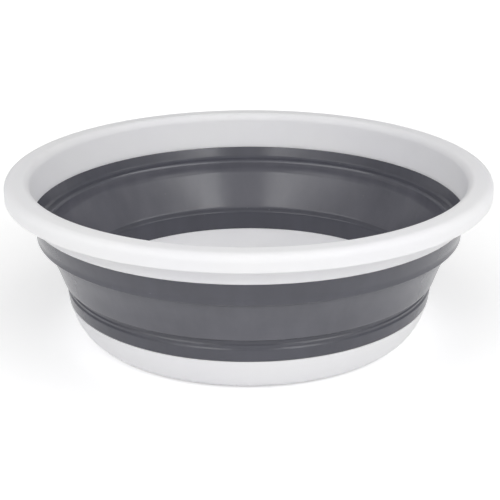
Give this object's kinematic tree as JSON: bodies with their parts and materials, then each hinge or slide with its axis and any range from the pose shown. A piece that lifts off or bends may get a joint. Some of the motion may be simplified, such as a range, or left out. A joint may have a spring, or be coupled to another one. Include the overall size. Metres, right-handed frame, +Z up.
{
  "type": "collapsible bowl",
  "caption": "Round folding bowl: a stiff white rim and base joined by a soft grey stepped wall that turns inside out as the rim is pushed down.",
  "frame": {"origin": "centre of the foot ring, on the plane the bowl stands on", "axes": "+Z up along the bowl's axis; the bowl is round about Z, and the picture looks along +Y"},
  "size_m": [0.38, 0.38, 0.126],
  "materials": {
    "rim_plastic": "satin white",
    "base_plastic": "satin white",
    "wall_rubber": "smooth satin grey"
  },
  "bodies": {
    "bowl_base": {"base": "base_plastic", "lower_wall": "wall_rubber"},
    "bowl_rim": {"rim": "rim_plastic", "upper_wall": "wall_rubber"},
    "band_1": {"fold_band_1": "wall_rubber"},
    "band_2": {"fold_band_2": "wall_rubber"},
    "band_3": {"fold_band_3": "wall_rubber"},
    "band_4": {"fold_band_4": "wall_rubber"},
    "band_5": {"fold_band_5": "wall_rubber"}
  },
  "joints": [
    {"name": "collapse", "type": "slide", "parent": "bowl_base", "child": "bowl_rim", "axis": [0, 0, -1], "range_m": [0, 0.074]},
    {"name": "band_1_follow", "type": "slide", "parent": "bowl_base", "child": "band_1", "axis": [0, 0, -1], "range_m": [0, 0.0666]},
    {"name": "band_2_follow", "type": "slide", "parent": "bowl_base", "child": "band_2", "axis": [0, 0, -1], "range_m": [0, 0.0518]},
    {"name": "band_3_follow", "type": "slide", "parent": "bowl_base", "child": "band_3", "axis": [0, 0, -1], "range_m": [0, 0.037]},
    {"name": "band_4_follow", "type": "slide", "parent": "bowl_base", "child": "band_4", "axis": [0, 0, -1], "range_m": [0, 0.0222]},
    {"name": "band_5_follow", "type": "slide", "parent": "bowl_base", "child": "band_5", "axis": [0, 0, -1], "range_m": [0, 0.0074]}
  ],
  "couplings": [
    {"joint": "band_1_follow", "follows": "collapse", "ratio": 0.9},
    {"joint": "band_2_follow", "follows": "collapse", "ratio": 0.7},
    {"joint": "band_3_follow", "follows": "collapse", "ratio": 0.5},
    {"joint": "band_4_follow", "follows": "collapse", "ratio": 0.3},
    {"joint": "band_5_follow", "follows": "collapse", "ratio": 0.1}
  ]
}
